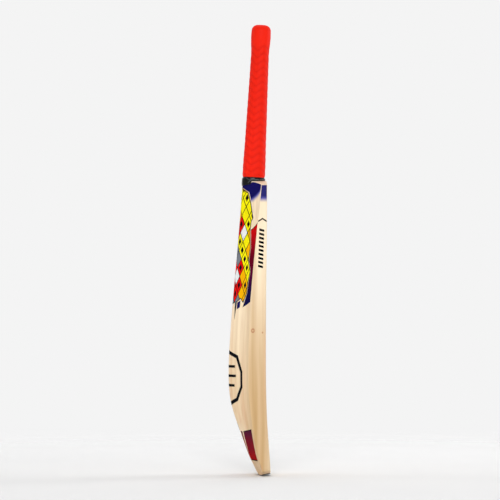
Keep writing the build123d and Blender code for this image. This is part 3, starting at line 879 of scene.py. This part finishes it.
def whipping():
    """The exposed coils of black twine: they sag over the back, where the CAD ring reaches lower."""
    lows = lowest_turn()
    verts, faces, path = [], [], []
    for i in range(COILS * STEPS_ROUND + 1):
        angle = 2 * math.pi * i / STEPS_ROUND
        share = i / (COILS * STEPS_ROUND)
        path.append(strand_place(lows, angle, share, UNEVEN * math.sin(angle * UNEVEN_TURNS)))
    tube(path, STRAND, verts, faces)
    black = mottled("twine_black", TWINE_BLACK, 0.36, scale=2600.0, change=0.25, relief=0.3, specular=0.2)
    add_mesh("twine_coils", verts, faces, [black])
    verts, faces = [], []
    for start, end, low, high in TIES:
        path = []
        for i in range(TIE_STEPS + 1):
            angle = start + (end - start) * i / TIE_STEPS
            share = low + (high - low) * i / TIE_STEPS
            path.append(strand_place(lows, angle, share, STRAND * TIE_OUT))
        tube(path, TIE, verts, faces)
    # painted highlight: the loose turns are the same black twine, coloured pale grey where they shine
    highlight_twine = mottled("twine_painted_highlight", TWINE_PAINTED_HIGHLIGHT, 0.25, coat=0.3, scale=2600.0, change=0.3, relief=0.3)
    add_mesh("twine_ties", verts, faces, [highlight_twine])
    return black


# ---- put it together ---------------------------------------------------------------------------
def dress(names, material):
    """Gives CAD nodes a material."""
    for name in names:
        nodes[name].data.materials.clear()
        nodes[name].data.materials.append(material)


dress(["willow_blade"], willow())
for number, name in enumerate(CANE_NODES):
    dress([name], cane(number))
dress(SPRING_NODES, mottled("spring_rubber", SPRING_RUBBER, 0.6))
dress(["toe_guard"], mottled("toe_rubber", TOE_RUBBER, 0.4, coat=0.2, scale=700.0, change=0.2, relief=0.1))
rubber_grip()
dress(["twine_binding", "twine_whipping"], whipping())
back_graphic()
plain_decals()


# ---- floor, backdrop, lights and camera ----------------------------------------------------------
FLOOR_HALF_WIDTH, FLOOR_NEAR, FLOOR_FAR = 6.0, -7.5, 2.6
BEND_RADIUS, BEND_STEPS = 1.2, 24  # of the curve from the floor to the wall
WALL_TOP = 6.0
FLOOR_GAP = 0.0002  # keeps the floor off the toe
WALL_BEGINS = 0.25  # height over which the floor's grey turns into the wall's
FLOOR_FADES = (0.3, 1.6)  # distances from the bat between which the camera stops seeing the floor


def backdrop_material(floor_z):
    """Pale grey that isn't seen from behind, and that the camera sees fade out away from the bat."""
    material, tree, shader, position = new_material("backdrop", 0.9, specular=0.1)
    height = make(tree, "ShaderNodeSeparateXYZ", {0: position}).outputs["Z"]
    rise = spread(tree, height, floor_z, floor_z + WALL_BEGINS)
    link(tree, mix(tree, rise, linear(FLOOR_GREY), linear(WALL_GREY)), shader.inputs["Base Color"])
    behind = make(tree, "ShaderNodeNewGeometry").outputs["Backfacing"]
    to_camera = make(tree, "ShaderNodeLightPath").outputs["Is Camera Ray"]
    flat = stretched(tree, position, (1, 1, 0))
    away = make(tree, "ShaderNodeVectorMath", {0: flat}, operation="LENGTH").outputs["Value"]
    far = maths(tree, "MULTIPLY", to_camera, spread(tree, away, *FLOOR_FADES))
    hidden = maths(tree, "MAXIMUM", behind, far)
    clear = make(tree, "ShaderNodeBsdfTransparent").outputs[0]
    seen = make(tree, "ShaderNodeMixShader", {0: hidden, 1: shader.outputs[0], 2: clear}).outputs[0]
    link(tree, seen, tree.nodes["Material Output"].inputs["Surface"])
    return material


def stage_sheet():
    """A floor that curves up into a wall behind the bat."""
    profile = [(FLOOR_NEAR, 0.0)]
    for i in range(BEND_STEPS + 1):
        turn = math.pi / 2 * i / BEND_STEPS
        away, up = BEND_RADIUS * math.sin(turn), BEND_RADIUS - BEND_RADIUS * math.cos(turn)
        profile.append((FLOOR_FAR + away, up))
    profile.append((FLOOR_FAR + BEND_RADIUS, WALL_TOP))
    floor_z = cad_low.z - FLOOR_GAP
    verts = [(x, y, floor_z + z) for y in (-FLOOR_HALF_WIDTH, FLOOR_HALF_WIDTH) for x, z in profile]
    count = len(profile)
    faces = [(i, i + 1, count + i + 1, count + i) for i in range(count - 1)]
    mesh = bpy.data.meshes.new("backdrop")
    mesh.from_pydata(verts, [], faces)
    mesh.polygons.foreach_set("use_smooth", [True] * len(mesh.polygons))
    mesh.materials.append(backdrop_material(floor_z))
    sheet = bpy.data.objects.new("backdrop", mesh)
    bpy.context.scene.collection.objects.link(sheet)


def soft_light(name, place, aim, size, power, spread_degrees=180):
    light = bpy.data.lights.new(name, "AREA")
    light.shape, light.size, light.energy = "SQUARE", size, power
    light.spread = math.radians(spread_degrees)
    lamp = bpy.data.objects.new(name, light)
    lamp.location = place
    lamp.rotation_euler = (Vector(aim) - Vector(place)).to_track_quat("-Z", "Y").to_euler()
    bpy.context.scene.collection.objects.link(lamp)


VIEW_TURN = math.radians(5.0)  # how far round to the back the camera stands
VIEW_DISTANCE = 6.0
VIEW_HEIGHT = 0.4255
VIEW_MIDDLE_Y = 0.0258
FRAME_HEIGHT = 0.95  # of what the picture takes in at the bat
SENSOR_WIDTH = 36.0  # millimetres
# strength of the light that comes from all round, and of what the camera sees of it
WORLD_LIGHT, WORLD_SEEN = 0.16, 0.905

stage_sheet()
soft_light("key", (-2.7, 0.35, 1.7), (0, 0, 0.45), 1.1, 41.5)
soft_light("fill", (-2.4, -1.6, 0.8), (0, 0, 0.40), 1.3, 14)
soft_light("back", (-1.5, 2.6, 0.3), (0, 0, 0.12), 1.2, 1.25, 24)
soft_light("face", (0.7, -3.0, 1.0), (0, 0, 0.40), 1.5, 20)
soft_light("top", (1.3, 0.0, 3.4), (1.3, 0, 0), 3.0, 58)
for side in (-1, 1):
    soft_light(f"wall_{side}", (0.9, side * 2.6, 1.5), (3.6, side * 0.4, 0.9), 1.6, 27)

world = bpy.data.worlds.new("studio")
world.use_nodes = True
background = world.node_tree.nodes["Background"]
background.inputs["Color"].default_value = (1, 1, 1, 1)
to_camera = make(world.node_tree, "ShaderNodeLightPath").outputs["Is Camera Ray"]
strength = spread(world.node_tree, to_camera, 0.0, 1.0, WORLD_LIGHT, WORLD_SEEN)
link(world.node_tree, strength, background.inputs["Strength"])
bpy.context.scene.world = world
bpy.context.scene.view_settings.view_transform = "Standard"

camera = bpy.data.cameras.new("camera")
camera.sensor_width = SENSOR_WIDTH
camera.lens = SENSOR_WIDTH * VIEW_DISTANCE / FRAME_HEIGHT
holder = bpy.data.objects.new("camera", camera)
aim = Vector((0, VIEW_MIDDLE_Y, VIEW_HEIGHT))
holder.location = aim + Vector((-math.cos(VIEW_TURN), math.sin(VIEW_TURN), 0)) * VIEW_DISTANCE
holder.rotation_euler = (aim - holder.location).to_track_quat("-Z", "Y").to_euler()
bpy.context.scene.collection.objects.link(holder)
bpy.context.scene.camera = holder
